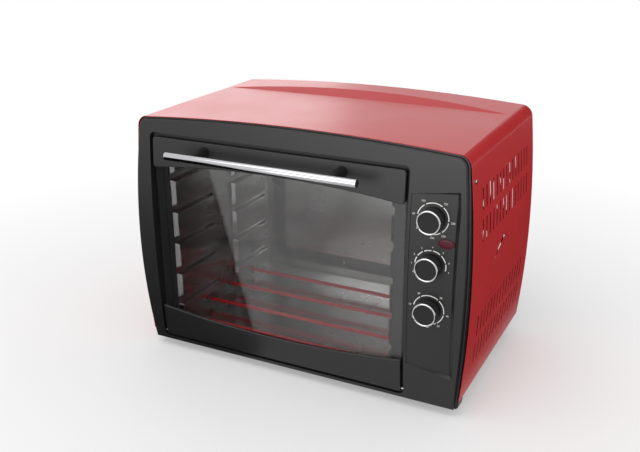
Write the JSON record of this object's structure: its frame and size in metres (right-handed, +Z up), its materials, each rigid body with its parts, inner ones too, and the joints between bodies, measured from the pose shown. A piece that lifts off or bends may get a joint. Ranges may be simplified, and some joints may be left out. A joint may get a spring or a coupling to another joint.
{
  "type": "electric countertop oven",
  "caption": "Countertop oven with a bowed front, drop-down glass door on a lower hinge, bar handle, three turning control knobs, lamp lens and a pressed, vented steel cover.",
  "frame": {"origin": "centre of the footprint of the whole part, on the surface that the feet rest on", "axes": "+Z up, front of the oven towards -Y, +X to the right seen from the front, along the width"},
  "size_m": [0.5744, 0.3928, 0.4137],
  "materials": {
    "red_paint": "smooth gloss paint over pressed steel",
    "black_plastic": "fine satin moulding",
    "dark_insert": "flat satin disc",
    "chrome_trim": "polished",
    "bare_steel": "plain",
    "zinc_steel": "zinc coated sheet",
    "cavity_steel": "aluminised sheet",
    "door_glass": "clear tempered",
    "red_lens": "translucent red",
    "white_plastic": "moulded",
    "heater_sheath": "oxidised sheath",
    "bush_ceramic": "unglazed",
    "control_housing": "moulded housing",
    "foot_rubber": "plain",
    "black_paint": "satin paint",
    "gland_plastic": "moulded"
  },
  "bodies": {
    "root": {"outer_cover": "red_paint", "fascia": "black_plastic", "bezel_ring": "black_plastic", "front_plate": "zinc_steel", "control_plate": "black_plastic", "indicator_lens": "red_lens", "indicator_lamp": "white_plastic", "hinge_bracket_left": "zinc_steel", "hinge_bracket_right": "zinc_steel", "cavity_left_wall": "cavity_steel", "cavity_right_wall": "cavity_steel", "cavity_top": "cavity_steel", "cavity_floor": "cavity_steel", "cavity_back": "cavity_steel", "lower_heater_1": "heater_sheath", "upper_heater_1": "heater_sheath", "lower_heater_2": "heater_sheath", "upper_heater_2": "heater_sheath", "lower_heater_3": "heater_sheath", "upper_heater_3": "heater_sheath", "lower_heater_4": "heater_sheath", "upper_heater_4": "heater_sheath", "heater_bushes_left": "bush_ceramic", "heater_bushes_right": "bush_ceramic", "heat_shield": "zinc_steel", "thermostat": "control_housing", "function_switch": "control_housing", "timer": "control_housing", "timer_bell": "zinc_steel", "control_nuts": "bare_steel", "base_pan": "zinc_steel", "feet": "foot_rubber", "rear_panel": "black_paint", "cord_gland": "gland_plastic", "terminal_block": "bush_ceramic", "cover_screws": "bare_steel"},
    "door": {"door_glass": "door_glass", "door_top_trim": "black_plastic", "door_bottom_trim": "black_plastic", "door_rail": "zinc_steel", "handle_bar": "chrome_trim", "handle_post_left": "black_plastic", "handle_post_right": "black_plastic", "handle_end_caps": "black_plastic", "handle_screws": "bare_steel", "hinge_pins": "bare_steel", "stay_arm_left": "zinc_steel", "stay_arm_right": "zinc_steel"},
    "knob_temperature": {"temperature_knob": "black_plastic", "temperature_knob_ring": "chrome_trim", "temperature_knob_disc": "dark_insert", "temperature_shaft": "bare_steel"},
    "knob_function": {"function_knob": "black_plastic", "function_knob_ring": "chrome_trim", "function_knob_disc": "dark_insert", "function_shaft": "bare_steel"},
    "knob_timer": {"timer_knob": "black_plastic", "timer_knob_ring": "chrome_trim", "timer_knob_disc": "dark_insert", "timer_shaft": "bare_steel"}
  },
  "joints": [
    {"name": "door_hinge", "type": "hinge", "parent": "root", "child": "door", "pos_m": [0, -0.14178, 0.0286], "axis": [1, 0, 0], "range_deg": [0, 84]},
    {"name": "temperature_turn", "type": "hinge", "parent": "root", "child": "knob_temperature", "pos_m": [0.2263, -0.16517, 0.3105], "axis": [0, 1, 0], "range_deg": [0, 305]},
    {"name": "function_turn", "type": "hinge", "parent": "root", "child": "knob_function", "pos_m": [0.2263, -0.16517, 0.2419], "axis": [0, 1, 0], "range_deg": [0, 224]},
    {"name": "timer_turn", "type": "hinge", "parent": "root", "child": "knob_timer", "pos_m": [0.2263, -0.16517, 0.1733], "axis": [0, 1, 0], "range_deg": [0, 305]}
  ]
}
